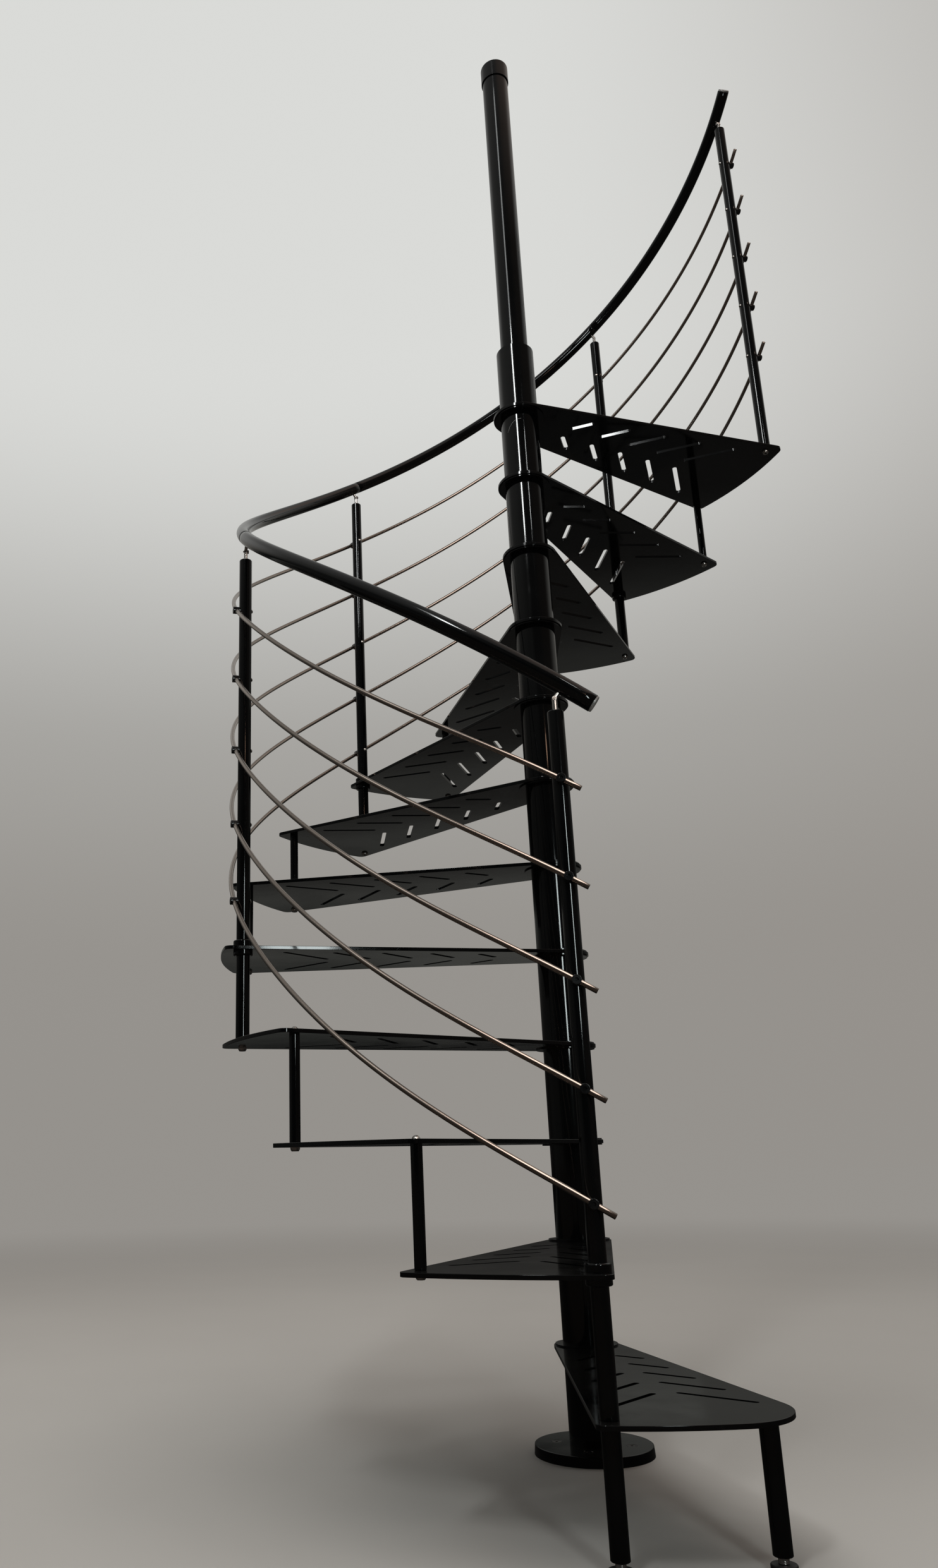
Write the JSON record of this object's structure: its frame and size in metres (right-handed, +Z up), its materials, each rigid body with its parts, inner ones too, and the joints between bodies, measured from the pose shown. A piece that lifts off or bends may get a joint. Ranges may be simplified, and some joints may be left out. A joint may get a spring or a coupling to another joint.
{
  "type": "spiral staircase",
  "caption": "Black steel spiral stair with slotted wedge treads on a central column, rim posts, a helical handrail and horizontal stainless rods.",
  "frame": {"origin": "centre of the base plate's underside, on the floor, at the column's axis", "axes": "+Z up along the column; the stair climbs clockwise seen from above, from -Y round by -X and +Y; the picture looks along +Y"},
  "size_m": [1.4929, 1.576, 3.7939],
  "materials": {
    "black_paint": "glossy black powder coat",
    "stainless_steel": "drawn stainless steel",
    "grey_metal": "satin grey metal",
    "black_plastic": "moulded black foot"
  },
  "bodies": {
    "root": {"base_plate": "black_paint", "centre_pole": "black_paint", "pole_cap": "black_paint", "column_spacers": "black_paint", "tread_01": "black_paint", "tread_02": "black_paint", "tread_03": "black_paint", "tread_04": "black_paint", "tread_05": "black_paint", "tread_06": "black_paint", "tread_07": "black_paint", "tread_08": "black_paint", "tread_09": "black_paint", "tread_10": "black_paint", "tread_11": "black_paint", "tread_12": "black_paint", "baluster_1": "black_paint", "baluster_2": "black_paint", "baluster_3": "black_paint", "baluster_4": "black_paint", "baluster_5": "black_paint", "short_post_1": "black_paint", "short_post_2": "black_paint", "short_post_3": "black_paint", "short_post_4": "black_paint", "short_post_5": "black_paint", "short_post_6": "black_paint", "short_post_7": "black_paint", "start_legs": "black_paint", "leg_feet": "black_plastic", "baluster_collars": "black_paint", "post_bolts": "stainless_steel", "rod_1": "stainless_steel", "rod_2": "stainless_steel", "rod_3": "stainless_steel", "rod_4": "stainless_steel", "rod_5": "stainless_steel", "handrail_1": "black_paint", "handrail_2": "black_paint", "handrail_3": "black_paint", "handrail_4": "black_paint", "handrail_end_caps": "grey_metal", "rod_clamps": "black_paint", "clamp_screws": "stainless_steel", "handrail_pins": "stainless_steel"}
  },
  "joints": []
}
